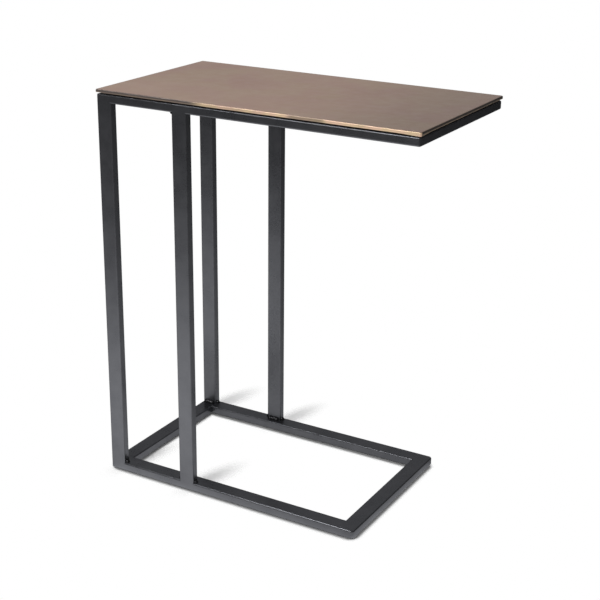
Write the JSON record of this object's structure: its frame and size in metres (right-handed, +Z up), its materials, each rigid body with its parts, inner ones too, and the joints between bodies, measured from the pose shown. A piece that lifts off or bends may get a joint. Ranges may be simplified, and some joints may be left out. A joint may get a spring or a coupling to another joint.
{
  "type": "c shaped side table",
  "caption": "C shaped side table: a thin bronze-finished top carried past one end of an open welded black tube frame, so that its base slides under a sofa or bed.",
  "frame": {"origin": "on the floor, under the middle of the top", "axes": "+Z up; +X along the length, to the free end that has no legs; +Y to the rear; the pictured long side faces -Y"},
  "size_m": [0.518, 0.276, 0.61],
  "materials": {
    "frame_black": "semi-gloss black powder coat with a fine orange peel",
    "weld_black": "semi-gloss black powder coat over rippled weld beads",
    "bronze": "satin bronze patina on the face, rubbed back to bright brass at the rim",
    "board_black": "black sealed fibreboard",
    "screw_steel": "zinc plated",
    "spacer_rubber": "matt black rubber",
    "glide_nylon": "moulded black nylon"
  },
  "bodies": {
    "root": {"base_front_rail": "frame_black", "base_rear_rail": "frame_black", "base_left_rail": "frame_black", "base_right_rail": "frame_black", "top_front_rail": "frame_black", "top_rear_rail": "frame_black", "top_left_rail": "frame_black", "top_right_rail": "frame_black", "front_outer_leg": "frame_black", "front_inner_leg": "frame_black", "rear_outer_leg": "frame_black", "rear_inner_leg": "frame_black", "front_left_tab": "frame_black", "front_right_tab": "frame_black", "rear_left_tab": "frame_black", "rear_right_tab": "frame_black", "left_end_tab": "frame_black", "right_end_tab": "frame_black", "base_leg_welds": "weld_black", "top_leg_welds": "weld_black", "tab_welds": "weld_black", "top_skin": "bronze", "top_core": "board_black", "top_tee_nuts": "screw_steel", "top_screws": "screw_steel", "screw_washers": "screw_steel", "tab_spacers": "spacer_rubber", "corner_bumpers": "spacer_rubber", "front_left_glide": "glide_nylon", "front_right_glide": "glide_nylon", "rear_left_glide": "glide_nylon", "rear_right_glide": "glide_nylon"}
  },
  "joints": []
}
